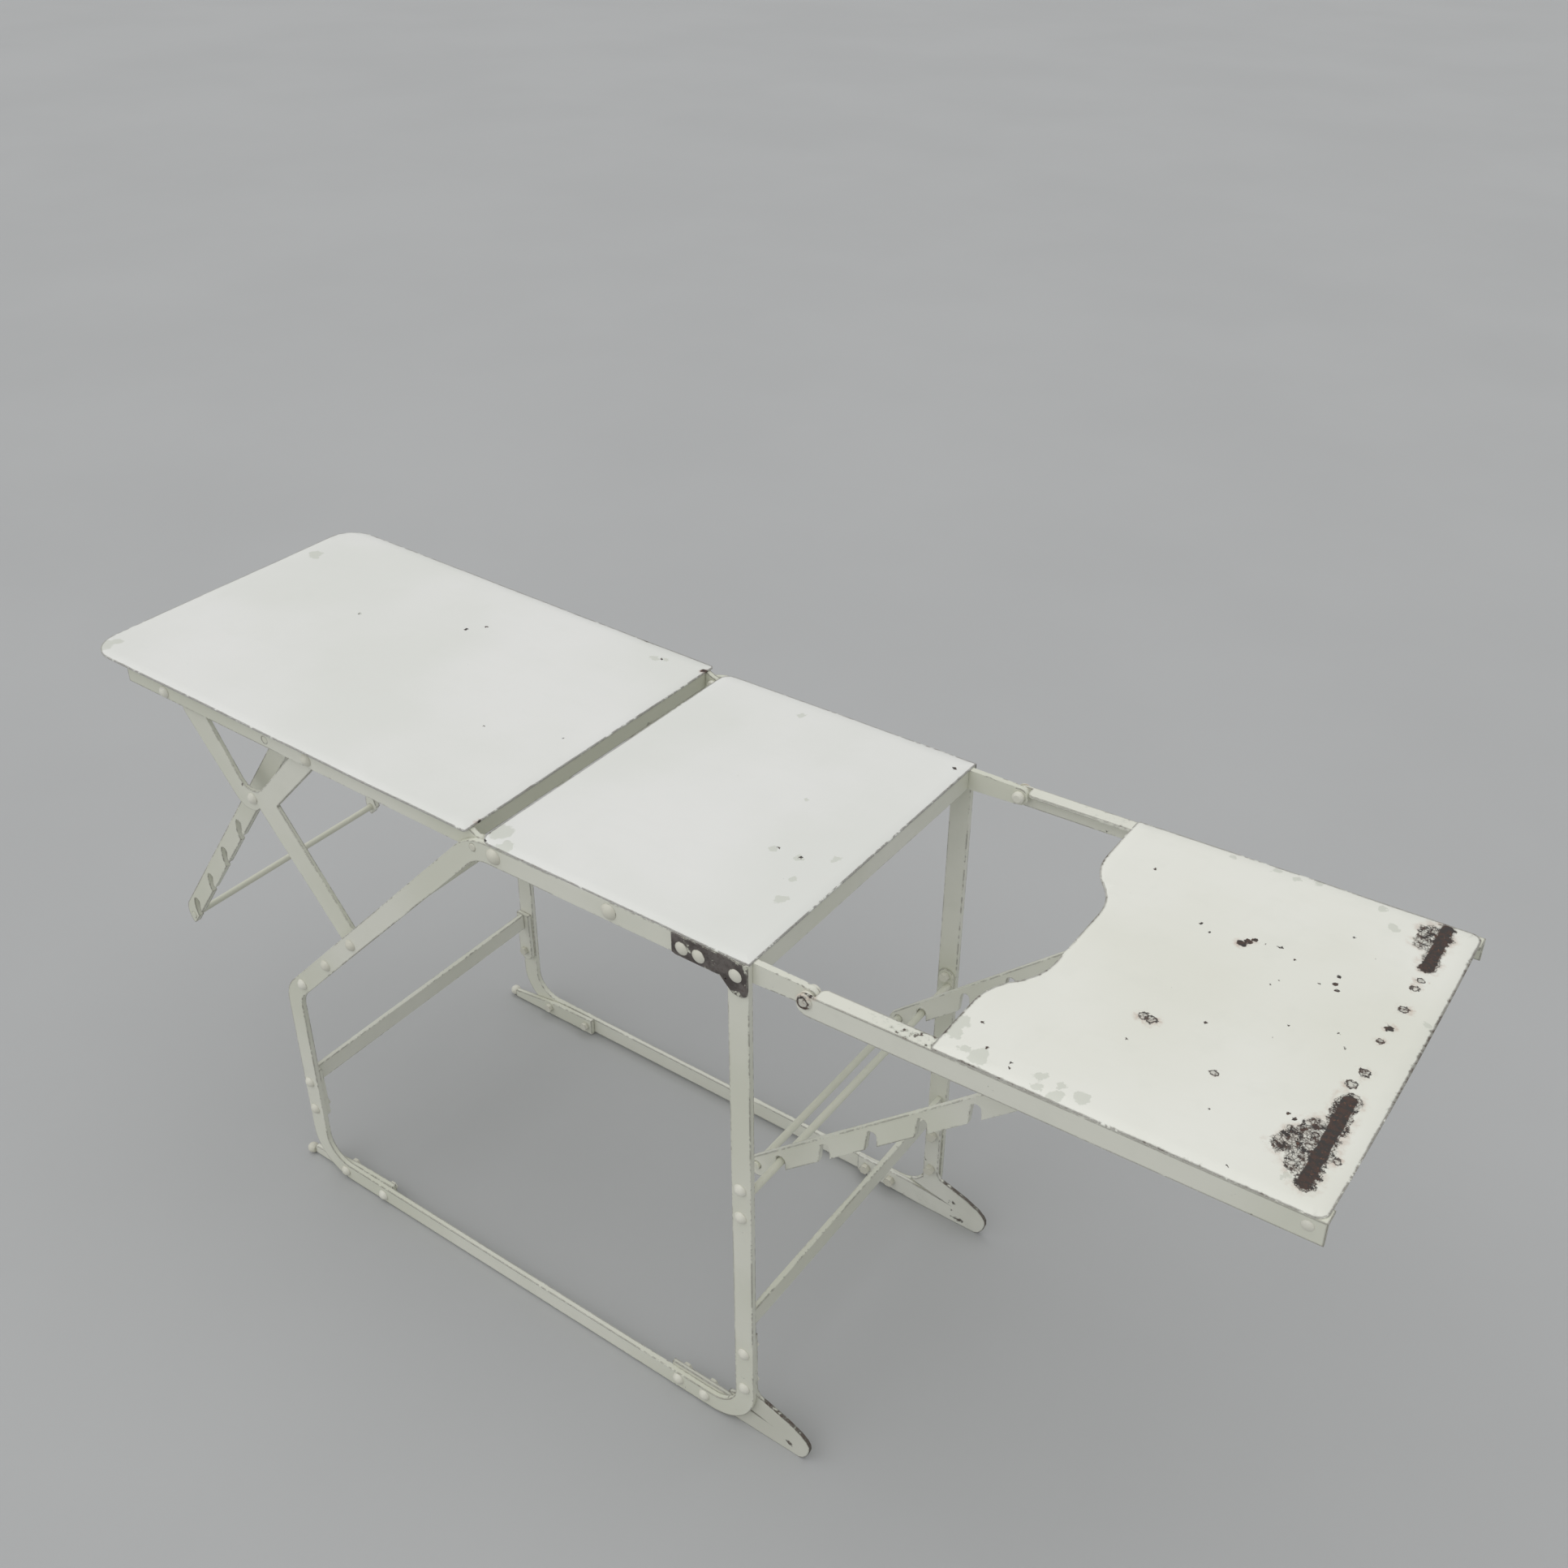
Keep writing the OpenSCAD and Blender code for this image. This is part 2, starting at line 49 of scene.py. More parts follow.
# ------------------------------------------------------------------ node helpers
class Net:
    """Small helper round a material's node tree."""

    def __init__(self, name):
        self.m = bpy.data.materials.new(name)
        self.m.use_nodes = True
        self.t = self.m.node_tree
        self.t.nodes.clear()
        self.out = self.t.nodes.new("ShaderNodeOutputMaterial")
        self.bsdf = self.t.nodes.new("ShaderNodeBsdfPrincipled")
        self.t.links.new(self.bsdf.outputs[0], self.out.inputs["Surface"])
        co = self.t.nodes.new("ShaderNodeTexCoord")
        self.co = co.outputs["Object"]
        geo = self.t.nodes.new("ShaderNodeNewGeometry")
        self.normal = geo.outputs["Normal"]
        self.tn = geo.outputs["True Normal"]

    def put(self, socket, v):
        if isinstance(v, bpy.types.NodeSocket):
            self.t.links.new(v, socket)
        elif v is not None:
            socket.default_value = v

    def math(self, op, a, b=None, c=None, clamp=False):
        n = self.t.nodes.new("ShaderNodeMath")
        n.operation = op
        n.use_clamp = clamp
        for s, v in zip(n.inputs, (a, b, c)):
            self.put(s, v)
        return n.outputs[0]

    def vec(self, op, a, b=None, scale=None):
        n = self.t.nodes.new("ShaderNodeVectorMath")
        n.operation = op
        self.put(n.inputs[0], a)
        if b is not None:
            self.put(n.inputs[1], b)
        if scale is not None:
            self.put(n.inputs["Scale"], scale)
        return n.outputs["Value"] if op in ("LENGTH", "DOT_PRODUCT", "DISTANCE") else n.outputs["Vector"]

    def noise(self, scale, detail=4.0, rough=0.55, stretch=None, shift=None, dist=0.0, color=False):
        n = self.t.nodes.new("ShaderNodeTexNoise")
        n.inputs["Scale"].default_value = scale
        n.inputs["Detail"].default_value = detail
        n.inputs["Roughness"].default_value = rough
        n.inputs["Distortion"].default_value = dist
        c = self.co
        if stretch:
            c = self.vec("MULTIPLY", c, stretch)
        if shift:
            c = self.vec("ADD", c, shift)
        self.put(n.inputs["Vector"], c)
        return n.outputs["Color"] if color else n.outputs["Fac"]

    def voronoi(self, scale, feature="F1", rand=1.0):
        n = self.t.nodes.new("ShaderNodeTexVoronoi")
        n.feature = feature
        n.inputs["Scale"].default_value = scale
        n.inputs["Randomness"].default_value = rand
        self.put(n.inputs["Vector"], self.co)
        return n.outputs["Distance"]

    def ramp(self, v, lo, hi, a=0.0, b=1.0, smooth=True):
        n = self.t.nodes.new("ShaderNodeMapRange")
        n.interpolation_type = "SMOOTHSTEP" if smooth else "LINEAR"
        n.clamp = True
        self.put(n.inputs["Value"], v)
        n.inputs["From Min"].default_value = lo
        n.inputs["From Max"].default_value = hi
        n.inputs["To Min"].default_value = a
        n.inputs["To Max"].default_value = b
        return n.outputs["Result"]

    def mix(self, f, a, b, blend="MIX"):
        n = self.t.nodes.new("ShaderNodeMix")
        n.data_type = "RGBA"
        n.blend_type = blend
        self.put(n.inputs["Factor"], f)
        self.put(n.inputs[6], rgba(a) if not isinstance(a, bpy.types.NodeSocket) else a)
        self.put(n.inputs[7], rgba(b) if not isinstance(b, bpy.types.NodeSocket) else b)
        return n.outputs[2]

    def fmix(self, f, a, b):
        n = self.t.nodes.new("ShaderNodeMix")
        n.data_type = "FLOAT"
        self.put(n.inputs["Factor"], f)
        self.put(n.inputs[2], a)
        self.put(n.inputs[3], b)
        return n.outputs[0]

    def edge(self, radius):
        """1 at an edge, 0 on open faces."""
        n = self.t.nodes.new("ShaderNodeBevel")
        n.samples = 4
        n.inputs["Radius"].default_value = radius
        d = self.vec("DOT_PRODUCT", n.outputs["Normal"], self.tn)
        return self.math("SUBTRACT", 1.0, d, clamp=True)

    def sep(self, v):
        n = self.t.nodes.new("ShaderNodeSeparateXYZ")
        self.put(n.inputs[0], v)
        return n.outputs

    def bump(self, height, strength, distance, below=None):
        n = self.t.nodes.new("ShaderNodeBump")
        n.inputs["Strength"].default_value = strength
        n.inputs["Distance"].default_value = distance
        self.put(n.inputs["Height"], height)
        if below is not None:
            self.put(n.inputs["Normal"], below)
        return n.outputs["Normal"]

    def segment(self, warped, a, b):
        """Distance of the warped point to the segment a-b."""
        a, b = Vector(a), Vector(b)
        d = b - a
        pa = self.vec("SUBTRACT", warped, tuple(a))
        t = self.math("DIVIDE", self.vec("DOT_PRODUCT", pa, tuple(d)), d.dot(d), clamp=True)
        n = self.t.nodes.new("ShaderNodeVectorMath")
        n.operation = "SCALE"
        n.inputs[0].default_value = tuple(d)
        self.put(n.inputs["Scale"], t)
        return self.vec("LENGTH", self.vec("SUBTRACT", pa, n.outputs["Vector"]))

    def finish(self, color, rough, normal, metal=None, coat=0.0, spec=0.5):
        self.put(self.bsdf.inputs["Base Color"], color)
        self.put(self.bsdf.inputs["Roughness"], rough)
        if metal is not None:
            self.put(self.bsdf.inputs["Metallic"], metal)
        self.put(self.bsdf.inputs["Normal"], normal)
        self.bsdf.inputs["Coat Weight"].default_value = coat
        self.bsdf.inputs["Coat Roughness"].default_value = 0.25
        self.bsdf.inputs["Specular IOR Level"].default_value = spec
        return self.m


def lin(c):
    """sRGB 0-255 to linear."""
    return tuple((x / 255 / 12.92) if x <= 10.3 else ((x / 255 + 0.055) / 1.055) ** 2.4 for x in c)


def rgba(c):
    return (c[0], c[1], c[2], 1.0) if len(c) == 3 else tuple(c)


SHEET = lin((238, 238, 234))
SHEET2 = lin((232, 233, 227))
CREAM = lin((229, 229, 217))
CREAM2 = lin((217, 218, 202))
UNDER = lin((205, 208, 195))
STEEL = lin((70, 64, 58))
BLACK = lin((36, 30, 28))
BROWN = lin((66, 42, 32))
ORANGE = lin((168, 104, 62))
GREY = lin((150, 150, 142))


def paint(name, base, base2, chips=0.5, edge=0.5, edge_r=0.0022, dirt=0.3, gloss=0.36, spots=(),
          streaks=(), patches=(), low_wear=0.0, seed=0.0, speckle=0.5, end_wear=None, faces=None):
    """Old brushed enamel over steel: a tone that drifts, an undercoat that shows in worn patches,
    chips along the edges that show dark steel, and rust that bleeds out of the deep ones."""
    n = Net(name)
    sh = (seed, seed * 1.7, seed * 0.6)
    big = n.noise(3.1, 3, 0.5, shift=sh)
    mid = n.noise(22, 5, 0.6, shift=sh)
    fine = n.noise(160, 6, 0.65, shift=sh)
    grit = n.noise(620, 3, 0.6, shift=sh)
    brush = n.noise(55, 3, 0.5, stretch=(0.25, 1.0, 1.0), shift=sh)
    col = n.mix(n.ramp(big, 0.35, 0.65), base, base2)
    # faint drifting stains and brush marks
    col = n.mix(n.math("MULTIPLY", n.ramp(mid, 0.5, 0.75), dirt * 0.35), col, UNDER)
    col = n.mix(n.math("MULTIPLY", n.ramp(brush, 0.48, 0.7), 0.10), col, base2)

    # edge chips
    e = n.edge(edge_r)
    e_noise = n.math("ADD", n.math("MULTIPLY", mid, 0.38), n.math("MULTIPLY", fine, 0.62))
    e1 = n.ramp(e, 0.002, 0.09)
    runs = n.ramp(n.noise(7.0, 2, 0.5, shift=(sh[0], 9, 4)), 0.36, 0.62, -0.06, 0.06)
    lvl = n.math("ADD", n.math("MULTIPLY", e1, n.math("ADD", edge, runs)), e_noise)
    if low_wear:
        z = n.sep(n.co)[2]
        lvl = n.math("ADD", lvl, n.ramp(z, 0.09, 0.0, 0.0, low_wear))
    if end_wear:
        lvl = n.math("ADD", lvl, end_wear(n))
    chip = n.ramp(lvl, 0.792, 0.812)
    lost = n.ramp(lvl, 0.70, 0.785)          # topcoat thinned, undercoat shows
    # loose chips on open faces
    loose = n.ramp(n.noise(38, 5, 0.7, shift=(sh[0] + 3, sh[1], sh[2])), 0.80 - 0.07 * chips, 0.815 - 0.07 * chips)
    tiny = n.ramp(n.voronoi(44), 0.055 * speckle, 0.02 * speckle)
    tiny = n.math("MULTIPLY", tiny, n.ramp(n.noise(9, 2, 0.5, shift=(5 + sh[0], 2, 1)), 0.54, 0.60))
    open_chip = n.math("MAXIMUM", loose, tiny)

    warp = n.vec("SUBTRACT", n.noise(85, 5, 0.65, color=True, shift=sh), (0.5, 0.5, 0.5))
    wp = n.vec("ADD", n.co, n.vec("SCALE", warp, scale=0.022))
    wfine = n.vec("SUBTRACT", n.noise(240, 4, 0.6, color=True), (0.5, 0.5, 0.5))
    wps = n.vec("ADD", n.co, n.vec("SCALE", wfine, scale=0.010))

    deep = None       # dark pits
    ring = None       # grey lifted rim
    halo = None       # orange bleed
    thin = None       # grey-green undercoat patches

    def over(a, b):
        return b if a is None else n.math("MAXIMUM", a, b)

    for spot in spots:
        c, r = spot[0], spot[1]
        d = n.vec("DISTANCE", wps, c)
        pit = n.ramp(d, r, r * 0.78)
        if len(spot) > 2:      # a lifted blister: dark rim, pale rusty middle
            hole = n.math("MULTIPLY", n.ramp(d, r * 0.72, r * 0.5), n.ramp(fine, 0.62, 0.5))
            pit = n.math("SUBTRACT", pit, hole, clamp=True)
            ring = over(ring, n.ramp(d, r * 1.05, r * 0.9))
        deep = over(deep, pit)
        if r > 0.003:
            halo = over(halo, n.ramp(d, r * 2.0, r * 1.05, 0.0, 0.35))
    if streaks:
        slow = n.vec("ADD", n.co, n.vec("SCALE", warp, scale=0.007))
        cells = n.ramp(n.voronoi(230, "DISTANCE_TO_EDGE"), 0.10, 0.03)
        flake = n.math("MAXIMUM", n.ramp(n.noise(125, 6, 0.75), 0.49, 0.53), n.math("MULTIPLY", cells, 0.8))
    for (a, b, r, spread) in streaks:
        if r > 0:
            d = n.segment(slow, a, b)
            deep = over(deep, n.ramp(d, r, r * 0.86))
            ring = over(ring, n.ramp(d, r * 1.5, r * 1.1, 0.0, 0.7))
        d = n.segment(wp, a, b)
        deep = over(deep, n.math("MULTIPLY", n.ramp(d, spread, spread * 0.86), flake))
        ring = over(ring, n.ramp(d, spread * 1.06, spread * 0.94))
        halo = over(halo, n.ramp(d, spread * 1.8, spread * 0.9, 0.0, 0.28))
    for (c, r) in patches:
        d = n.vec("DISTANCE", wp, c)
        thin = over(thin, n.ramp(d, r, r * 0.80))
    if thin is not None:
        col = n.mix(n.math("MULTIPLY", thin, 0.62), col, UNDER)
    col = n.mix(n.math("MULTIPLY", lost, 0.62), col, UNDER)
    if halo is not None:
        hn = n.math("MULTIPLY", halo, n.ramp(n.noise(70, 4, 0.6), 0.42, 0.66))
        col = n.mix(hn, col, ORANGE)
    if ring is not None:
        rn = n.math("MULTIPLY", ring, n.ramp(fine, 0.35, 0.6, 0.25, 0.85))
        col = n.mix(rn, col, lin((188, 186, 176)))
    # bare places: dark steel with brown rust in it
    bare_c = n.mix(n.ramp(fine, 0.40, 0.62), STEEL, BROWN)
    bare_c = n.mix(n.ramp(grit, 0.52, 0.66), bare_c, GREY)
    pit_c = n.mix(n.ramp(fine, 0.42, 0.60), BLACK, BROWN)
    pit_c = n.mix(n.math("MULTIPLY", n.ramp(n.noise(300, 4, 0.6), 0.60, 0.70), 0.35), pit_c, ORANGE)
    all_chip = n.math("MAXIMUM", chip, open_chip)
    # a thin dirty line round each chip
    rim = n.math("SUBTRACT", n.ramp(lvl, 0.770, 0.792), chip, clamp=True)
    col = n.mix(n.math("MULTIPLY", rim, 0.35), col, lin((120, 110, 92)))
    col = n.mix(n.math("MULTIPLY", all_chip, 0.92), col, bare_c)
    bare = all_chip
    if deep is not None:
        col = n.mix(n.math("MULTIPLY", deep, 0.97), col, pit_c)
        bare = n.math("MAXIMUM", bare, deep)
    rough = n.math("ADD", n.math("MULTIPLY", mid, 0.18), gloss - 0.05)
    rough = n.fmix(bare, rough, 0.62)
    # relief: paint film stands proud of bare places, with brush and orange-peel texture
    film = n.math("SUBTRACT", 1.0, bare)
    film = n.math("ADD", film, n.math("MULTIPLY", n.math("MULTIPLY", grit, bare), 0.6))
    nb = n.bump(n.math("ADD", n.math("MULTIPLY", brush, 0.5), n.math("MULTIPLY", fine, 0.25)), 0.22, 0.0006)
    nb = n.bump(film, 0.75, 0.00045, nb)
    metal = n.math("MULTIPLY", n.math("MULTIPLY", chip, n.ramp(grit, 0.5, 0.6)), 0.5)
    return n.finish(col, rough, nb, metal=metal, coat=0.06)


# ------------------------------------------------------------------ materials
# wear on the leg sheet: two deep streaks along the far edge where a bar rusted through from below,
# a line of spots between them, and chips over the middle
ZL = 0.805
def on_leg(x, y):
    return (x, y, 0.8011 + (x - 0.4717) * 0.0272)


leg_spots = [(on_leg(x, y), r) for (x, y, r) in (
    (0.612, 0.095, 0.0024), (0.625, 0.085, 0.0013), (0.661, 0.086, 0.0058), (0.666, 0.093, 0.0050), (0.671, 0.099, 0.0038),
    (0.682, 0.098, 0.0013), (0.698, 0.102, 0.0026), (0.717, 0.090, 0.0018), (0.711, 0.038, 0.0012), (0.716, 0.050, 0.0013),
    (0.752, 0.067, 0.0015), (0.765, 0.089, 0.0026), (0.766, 0.075, 0.0030), (0.771, 0.066, 0.0028), (0.756, 0.162, 0.0020),
    (0.680, -0.054, 0.0026), (0.700, -0.056, 0.0012), (0.626, -0.120, 0.0016), (0.750, -0.012, 0.0016),
    (0.743, -0.038, 0.0010), (0.794, 0.004, 0.0017), (0.730, -0.167, 0.0018), (0.773, -0.225, 0.0016),
    (0.801, -0.134, 0.0030), (0.794, -0.130, 0.0022), (0.833, 0.038, 0.0052), (0.529, 0.161, 0.0024),
    (0.496, -0.177, 0.0022), (0.519, -0.208, 0.0022), (0.549, -0.214, 0.0020), (0.550, -0.221, 0.0016))]
leg_spots += [(on_leg(x, y), r, 1) for (x, y, r) in (
    (0.625, -0.078, 0.0068), (0.633, -0.080, 0.0072), (0.716, -0.118, 0.0050), (0.836, 0.129, 0.0052),
    (0.835, 0.113, 0.0052), (0.836, 0.074, 0.0066), (0.832, 0.014, 0.0048), (0.834, -0.038, 0.0064),
    (0.829, -0.060, 0.0068), (0.852, -0.165, 0.0050), (0.807, -0.015, 0.0018))]
leg_streaks = [(on_leg(*a), on_leg(*b), r, sp) for (a, b, r, sp) in (
    ((0.833, 0.232), (0.835, 0.153), 0.0072, 0.0095), ((0.818, 0.218), (0.820, 0.192), 0.0, 0.0115),
    ((0.835, -0.082), (0.837, -0.206), 0.0074, 0.0110), ((0.822, -0.136), (0.824, -0.186), 0.0, 0.0140),
    ((0.809, -0.150), (0.803, -0.172), 0.0, 0.0110))]
leg_patches = [(on_leg(x, y), r) for (x, y, r) in (
    (0.518, -0.223, 0.0125), (0.501, -0.222, 0.0065), (0.581, -0.216, 0.0085), (0.602, -0.218, 0.0060),
    (0.627, -0.220, 0.0095), (0.584, -0.230, 0.0070), (0.605, -0.232, 0.0085), (0.477, -0.189, 0.0120),
    (0.481, -0.205, 0.0100), (0.785, 0.201, 0.0080), (0.764, 0.228, 0.0060), (0.593, 0.231, 0.0050),
    (0.668, 0.230, 0.0060), (0.691, 0.236, 0.0060), (0.643, 0.234, 0.0060), (0.820, -0.206, 0.0060),
    (0.862, 0.064, 0.0050))]
seat_spots = [((0.187, -0.050, 0.800), 0.0026), ((0.156, -0.050, 0.800), 0.0022), ((-0.148, -0.212, 0.800), 0.0045),
              ((-0.131, -0.236, 0.800), 0.003), ((0.236, 0.214, 0.800), 0.003)]
seat_patches = [((0.152, -0.054, 0.800), 0.0065), ((0.186, -0.053, 0.800), 0.0060), ((0.127, 0.051, 0.800), 0.0045),
                ((0.009, 0.209, 0.800), 0.0060), ((-0.128, -0.212, 0.800), 0.0170), ((-0.102, -0.231, 0.800), 0.0120),
                ((0.214, -0.128, 0.800), 0.0085), ((0.205, -0.090, 0.800), 0.0055), ((0.222, -0.030, 0.800), 0.0060)]


def on_back(x, y):
    return (x, y, 0.804 + (-0.1583 - x) * 0.02357)


back_spots = [(on_back(x, y), r) for (x, y, r) in (
    (-0.497, 0.110, 0.0030), (-0.480, 0.133, 0.0024), (-0.650, 0.051, 0.0018), (-0.228, 0.212, 0.0026),
    (-0.162, 0.222, 0.0050), (-0.156, -0.216, 0.0050), (-0.200, -0.020, 0.0014), (-0.300, -0.060, 0.0012))]
back_patches = [(on_back(x, y), r) for (x, y, r) in (
    (-0.844, 0.143, 0.0110), (-0.836, 0.134, 0.0070), (-0.860, -0.225, 0.0180), (-0.852, -0.205, 0.0090),
    (-0.235, 0.207, 0.0070), (-0.222, 0.214, 0.0050), (-0.650, 0.051, 0.0035))]

M = {
    "seat": paint("enamel_seat", SHEET, SHEET2, chips=0.15, edge=0.37, edge_r=0.0034, dirt=0.12, gloss=0.36,
                  spots=seat_spots, patches=seat_patches, seed=1.3, speckle=0.35),
    "back": paint("enamel_backrest", SHEET, SHEET2, chips=0.10, edge=0.37, edge_r=0.0034, dirt=0.12, gloss=0.36,
                  spots=back_spots, patches=back_patches, seed=4.1, speckle=0.35),
    "leg": paint("enamel_leg", lin((240, 240, 231)), lin((233, 233, 221)), chips=0.35, edge=0.385, edge_r=0.0038, dirt=0.22,
                 gloss=0.36, spots=leg_spots, streaks=leg_streaks, patches=leg_patches, seed=7.7, speckle=0.55),
    "frame": paint("enamel_frame", CREAM, CREAM2, chips=1.5, edge=0.295, edge_r=0.0034, dirt=0.4, gloss=0.38,
                   low_wear=0.085, seed=2.2),
    "rack": paint("enamel_rack", CREAM, CREAM2, chips=1.6, edge=0.315, edge_r=0.0034, dirt=0.4, gloss=0.40, seed=9.4),
    "angle": paint("enamel_angle", CREAM, CREAM2, chips=1.7, edge=0.34, edge_r=0.0036, dirt=0.45, gloss=0.40,
                   end_wear=lambda n: n.math("MULTIPLY", n.ramp(n.sep(n.tn)[2], 0.5, 0.9), n.math("MULTIPLY",
                       n.ramp(n.sep(n.co)[0], 0.34, 0.42), n.ramp(n.sep(n.co)[0], 0.56, 0.46, 0.0, 0.19))),
                   spots=[((0.325, 0.226, 0.799), 0.006), ((0.312, 0.224, 0.799), 0.005),
                          ((0.330, -0.238, 0.799), 0.005), ((0.322, -0.236, 0.797), 0.004)],
                   seed=5.5),
    "rod": paint("enamel_rod", lin((222, 222, 206)), CREAM2, chips=0.5, edge=0.0, dirt=0.5, gloss=0.36,
                 seed=3.6,
                 spots=[]),
    "bolt": paint("enamel_bolt", lin((230, 229, 217)), lin((214, 212, 197)), chips=0.6, edge=0.21, edge_r=0.0014, dirt=0.6,
                  gloss=0.33, low_wear=0.05, seed=6.1, speckle=0.9,
                  spots=[((0.3227, -0.2455, 0.786), 0.0095, 1), ((0.3227, 0.2455, 0.786), 0.0095, 1),
                         ((0.3227, -0.2475, 0.7865), 0.0032), ((0.3227, 0.2475, 0.7865), 0.0032)]),
    "foot": paint("enamel_foot", lin((228, 228, 218)), lin((206, 206, 193)), chips=2.2, edge=0.33, edge_r=0.0034, dirt=0.8,
                  gloss=0.45, low_wear=0.12, seed=8.3, speckle=1.0,
                  end_wear=lambda n: n.math("MULTIPLY", n.ramp(n.math("ABSOLUTE", n.sep(n.tn)[1]), 0.7, 0.3),
                                            n.ramp(n.sep(n.co)[0], 0.252, 0.262, 0.0, 0.32))),
}


def bare_plate():
    """Corner plate: paint almost gone, dark oxidised steel with a few pale remains."""
    n = Net("oxidised_plate")
    mid = n.noise(60, 5, 0.65)
    fine = n.noise(260, 5, 0.65)
    col = n.mix(n.ramp(mid, 0.38, 0.62), lin((104, 98, 94)), lin((72, 66, 63)))
    col = n.mix(n.math("MULTIPLY", n.ramp(fine, 0.52, 0.68), 0.6), col, BROWN)
    left = n.math("ADD", n.math("MULTIPLY", n.ramp(n.edge(0.003), 0.02, 0.4), 0.12), n.noise(90, 6, 0.7, shift=(2, 2, 2)))
    left = n.ramp(left, 0.585, 0.615)
    col = n.mix(n.math("MULTIPLY", left, 0.85), col, CREAM2)
    nb = n.bump(n.math("ADD", fine, left), 0.6, 0.0004)
    rough = n.fmix(left, 0.55, 0.4)
    return n.finish(col, rough, nb, metal=None, coat=0.0)


M["plate"] = bare_plate()


# ------------------------------------------------------------------ CAD nodes
PICK = {}
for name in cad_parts:
    if "corner_plate" in name:
        k = "plate"
    elif name in ("seat_panel",):
        k = "seat"
    elif name in ("backrest_panel",):
        k = "back"
    elif name in ("leg_panel",):
        k = "leg"
    elif "foot_r" in name or "foot_l" in name:
        k = "foot"
    elif "bolt" in name or "nut" in name or "pin" in name or "button" in name:
        k = "bolt"
    elif name.endswith("_rod") or "shaft" in name:
        k = "rod"
    elif "rack" in name or "prop_bracket" in name:
        k = "rack"
    elif "leg_angle" in name or "leg_end_bar" in name:
        k = "angle"
    else:
        k = "frame"
    PICK[name] = k

BEVEL = {"bolt": 0.0006, "rod": 0.0006, "plate": 0.0004, "foot": 0.0014, "frame": 0.0011, "rack": 0.0010, "angle": 0.0008}


def soften(ob, width, weld=True):
    me = ob.data
    for a in ("custom_normal",):
        if a in me.attributes:
            me.attributes.remove(me.attributes[a])
    me.polygons.foreach_set("use_smooth", [True] * len(me.polygons))
    if weld:
        w = ob.modifiers.new("weld", "WELD")
        w.merge_threshold = 0.00002
        d = ob.modifiers.new("flat_faces", "DECIMATE")
        d.decimate_type = "DISSOLVE"
        d.angle_limit = math.radians(1.0)
    b = ob.modifiers.new("rounded", "BEVEL")
    b.width = width
    b.segments = 2
    b.limit_method = "ANGLE"
    b.angle_limit = math.radians(32)
    b.harden_normals = True
    b.use_clamp_overlap = True


for name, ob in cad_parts.items():
    k = PICK[name]
    if k in ("seat", "back", "leg"):
        continue
    ob.data.materials.clear()
    ob.data.materials.append(M[k])
    soften(ob, BEVEL[k])


# ------------------------------------------------------------------ the three sheets
def sheet(node, piece_name, mat, body, amp, seed, bulge=0.0):
    """The steel sheet as a real one: gently uneven, its edges slightly wavy and rounded."""
    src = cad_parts[node]
    bm = bmesh.new()
    bm.from_mesh(src.data)
    bmesh.ops.remove_doubles(bm, verts=bm.verts, dist=2e-5)
    bmesh.ops.dissolve_limit(bm, angle_limit=math.radians(0.5), verts=bm.verts, edges=bm.edges)
    lo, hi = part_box(node)
    step = 0.016
    for axis in (0, 1):
        nrm = Vector((1, 0, 0)) if axis == 0 else Vector((0, 1, 0))
        n = int((hi[axis] - lo[axis]) / step)
        for i in range(1, n):
            p = Vector((0, 0, 0))
            p[axis] = lo[axis] + (hi[axis] - lo[axis]) * i / n
            bmesh.ops.bisect_plane(bm, geom=bm.verts[:] + bm.edges[:] + bm.faces[:], dist=1e-5, plane_co=p, plane_no=nrm)
    bmesh.ops.triangulate(bm, faces=[f for f in bm.faces if len(f.verts) > 4])
    w = (hi.x - lo.x)
    for v in bm.verts:
        x, y = v.co.x, v.co.y
        u = (x - lo.x) / w
        ey = 1 - min(1.0, (hi.y - abs(y)) / 0.03)
        dz = amp * mnoise.noise(Vector((x * 4.1 + seed, y * 5.3, seed)))
        dz += amp * 0.45 * mnoise.noise(Vector((x * 13 + seed, y * 15, seed)))
        dz -= 0.0006 * max(0, ey) ** 2            # edges dressed down a little
        v.co.z += dz
        # edges a touch uneven in plan, never past the sheet's own box
        v.co.y *= 1 - 0.0022 * (0.5 + 0.5 * mnoise.noise(Vector((x * 11, seed, 3.0))))
        if bulge and u > 0.97:
            v.co.x -= bulge * (y / hi.y) ** 2
    bmesh.ops.recalc_face_normals(bm, faces=bm.faces)
    me = bpy.data.meshes.new(piece_name)
    bm.to_mesh(me)
    bm.free()
    ob = bpy.data.objects.new(piece_name, me)
    SC.collection.objects.link(ob)
    me.materials.append(mat)
    me.polygons.foreach_set("use_smooth", [True] * len(me.polygons))
    b = ob.modifiers.new("rounded", "BEVEL")
    b.width = 0.0006
    b.segments = 2
    b.limit_method = "ANGLE"
    b.angle_limit = math.radians(40)
    b.harden_normals = True
    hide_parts(node)
    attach(ob, body)
    return ob


sheet("seat_panel", "seat_sheet", M["seat"], "frame", 0.0008, 1.0)
sheet("backrest_panel", "backrest_sheet", M["back"], "backrest", 0.0010, 5.0)
sheet("leg_panel", "leg_sheet", M["leg"], "leg_section", 0.0010, 9.0, bulge=0.0025)


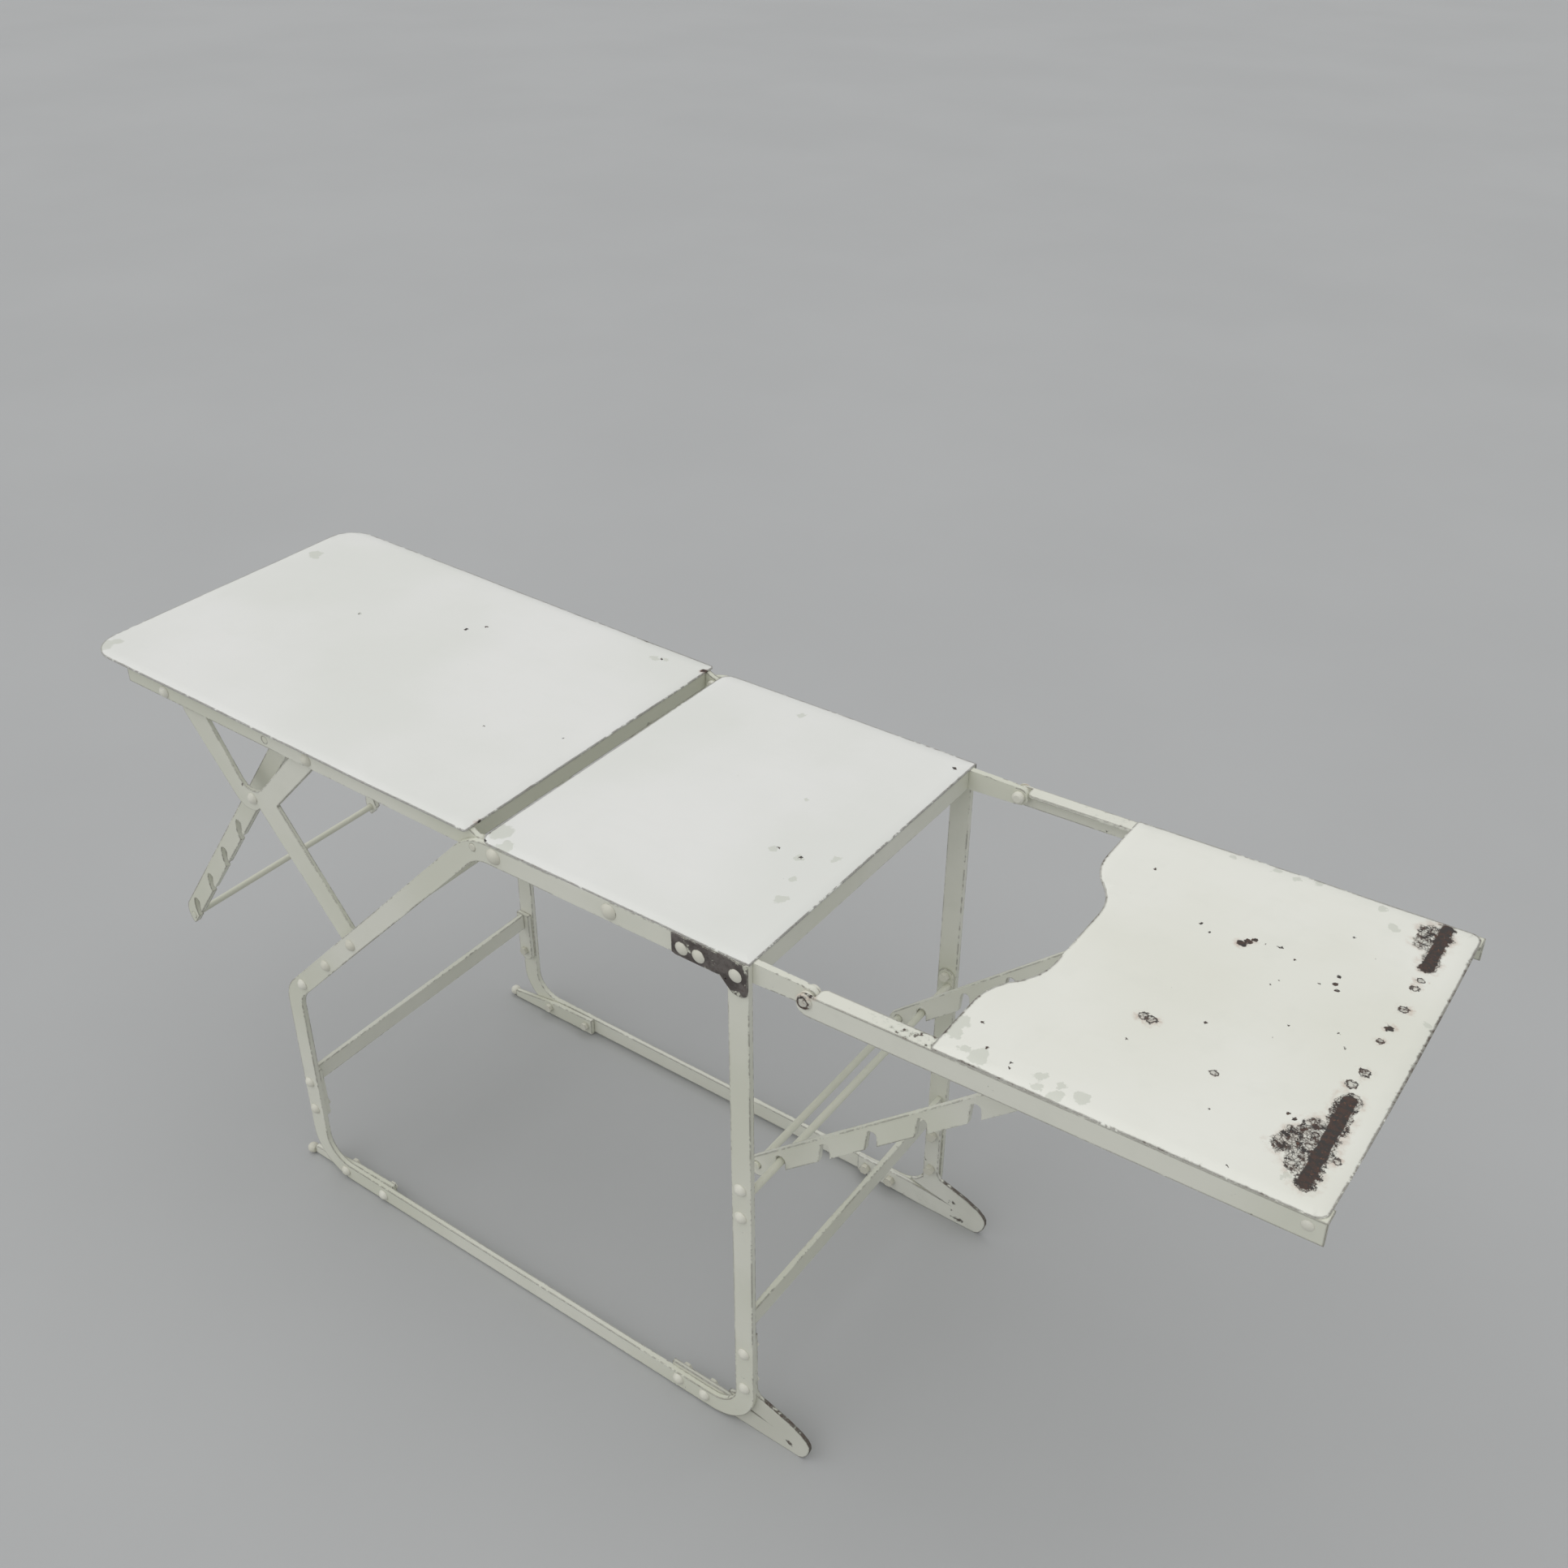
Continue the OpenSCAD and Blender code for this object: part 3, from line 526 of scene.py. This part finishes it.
# ------------------------------------------------------------------ room, light, camera
def floor_material():
    n = Net("studio_floor")
    big = n.noise(0.9, 4, 0.55)
    col = n.mix(n.ramp(big, 0.3, 0.7), lin((181, 182, 182)), lin((184, 185, 185)))
    nb = n.bump(n.noise(40, 3, 0.5), 0.05, 0.002)
    return n.finish(col, 0.62, nb, spec=0.25)


fm = bpy.data.meshes.new("studio_floor")
fm.from_pydata([(-30, -30, 0), (30, -30, 0), (30, 30, 0), (-30, 30, 0)], [], [(0, 1, 2, 3)])
floor = bpy.data.objects.new("studio_floor", fm)
SC.collection.objects.link(floor)
fm.materials.append(floor_material())

w = bpy.data.worlds.new("studio")
SC.world = w
w.use_nodes = True
bg = w.node_tree.nodes["Background"]
bg.inputs["Color"].default_value = rgba(lin((226, 227, 228)))
bg.inputs["Strength"].default_value = 0.60


def sun(name, direction, strength, angle):
    d = bpy.data.lights.new(name, "SUN")
    d.energy = strength
    d.angle = math.radians(angle)
    o = bpy.data.objects.new(name, d)
    SC.collection.objects.link(o)
    o.rotation_euler = Vector(direction).to_track_quat("-Z", "Y").to_euler()
    return o


sun("top_soft", (0.10, 0.12, -1.0), 1.05, 85)
sun("side_soft", (0.35, 0.9, -0.55), 0.42, 70)

cam = bpy.data.cameras.new("camera")
cam.lens = 36 * 2011.09 / 1932
cam.sensor_width = 36
cam.sensor_fit = "HORIZONTAL"
cam.clip_end = 100
co = bpy.data.objects.new("camera", cam)
SC.collection.objects.link(co)
yaw, pitch, roll = 0.6124, -0.5843, 0.0039
fwd = Vector((-math.sin(yaw) * math.cos(pitch), math.cos(yaw) * math.cos(pitch), math.sin(pitch)))
right = Vector((math.cos(yaw), math.sin(yaw), 0))
up = right.cross(fwd)
r2 = right * math.cos(roll) + up * math.sin(roll)
u2 = up * math.cos(roll) - right * math.sin(roll)
co.matrix_world = Matrix(((r2.x, u2.x, -fwd.x, 1.0401), (r2.y, u2.y, -fwd.y, -1.2984), (r2.z, u2.z, -fwd.z, 1.8999), (0, 0, 0, 1)))
SC.camera = co

SC.view_settings.view_transform = "Standard"
SC.view_settings.look = "None"
